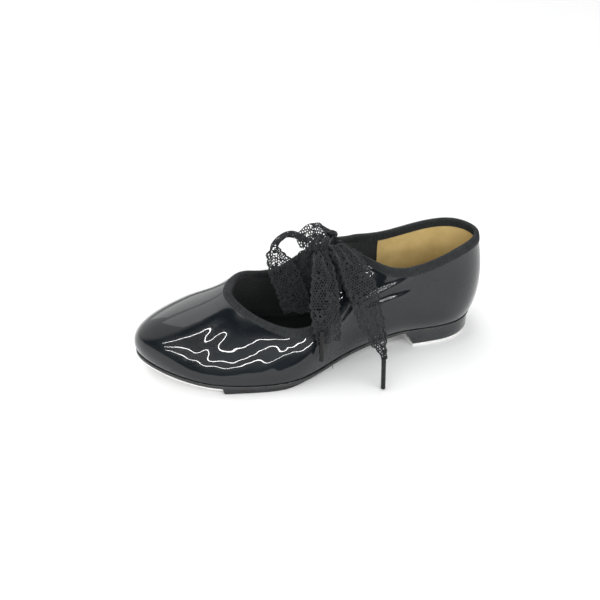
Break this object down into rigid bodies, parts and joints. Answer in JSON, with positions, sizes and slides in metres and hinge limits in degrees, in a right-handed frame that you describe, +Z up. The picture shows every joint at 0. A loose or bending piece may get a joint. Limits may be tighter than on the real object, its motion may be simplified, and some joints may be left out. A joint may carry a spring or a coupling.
{
  "type": "tap shoe",
  "caption": "Left tap shoe in black patent with a grosgrain-bound topline, a lace ribbon tied in a bow through tabs, a low heel, and metal taps under toe and heel.",
  "frame": {"origin": "on the floor under the ball of the foot, on the flat underside of the sole pad", "axes": "+X towards the toe, +Y to the wearer's left (the outer side of this left shoe), +Z up"},
  "size_m": [0.2414, 0.1054, 0.0868],
  "materials": {
    "patent": "black patent with a mirror gloss and soft creases",
    "binding": "charcoal grosgrain tape with cross ribs",
    "mesh_lining": "black knitted mesh",
    "tan_lining": "matt tan lining leather with a fine grain",
    "sock": "black cloth over foam",
    "stiffener": "thermoplastic sheet",
    "fibre_board": "pressed fibre board",
    "filler": "cork and foam filler",
    "shank_steel": "spring steel",
    "sole": "dyed black sole leather, satin edge",
    "pad_rubber": "matt rubber",
    "heel_block": "satin black",
    "tap": "satin cast aluminium",
    "screw": "plated steel",
    "nail": "steel",
    "lace_ribbon": "black open-work lace ribbon with scalloped edges",
    "aglet": "black gloss tip"
  },
  "bodies": {
    "shoe": {"upper": "patent", "topline_binding": "binding", "toe_puff": "stiffener", "heel_counter": "stiffener", "forepart_lining": "mesh_lining", "heel_lining": "tan_lining", "insole_board": "fibre_board", "sock_liner": "sock", "bottom_filler": "filler", "shank": "shank_steel", "outsole": "sole", "sole_pad": "pad_rubber", "heel_block": "heel_block", "heel_tap": "tap", "toe_tap": "tap", "toe_tap_screw_1": "screw", "toe_tap_screw_2": "screw", "toe_tap_screw_3": "screw", "heel_tap_screw_1": "screw", "heel_tap_screw_2": "screw", "heel_tap_screw_3": "screw", "heel_nail_1": "nail", "heel_nail_2": "nail", "heel_nail_3": "nail", "heel_nail_4": "nail", "ribbon_crossing": "lace_ribbon", "ribbon_knot": "lace_ribbon", "ribbon_loop_inner": "lace_ribbon", "ribbon_loop_outer": "lace_ribbon"},
    "front_tail": {"ribbon_tail_front": "lace_ribbon", "aglet_front": "aglet"},
    "rear_tail": {"ribbon_tail_rear": "lace_ribbon", "aglet_rear": "aglet"}
  },
  "joints": [
    {"name": "front_tail_swing", "type": "hinge", "parent": "shoe", "child": "front_tail", "pos_m": [-0.048, 0.014, 0.08], "axis": [1, 0, 0], "range_deg": [0, 90]},
    {"name": "rear_tail_swing", "type": "hinge", "parent": "shoe", "child": "rear_tail", "pos_m": [-0.057, 0.0136, 0.0824], "axis": [1, 0, 0], "range_deg": [0, 90]}
  ]
}
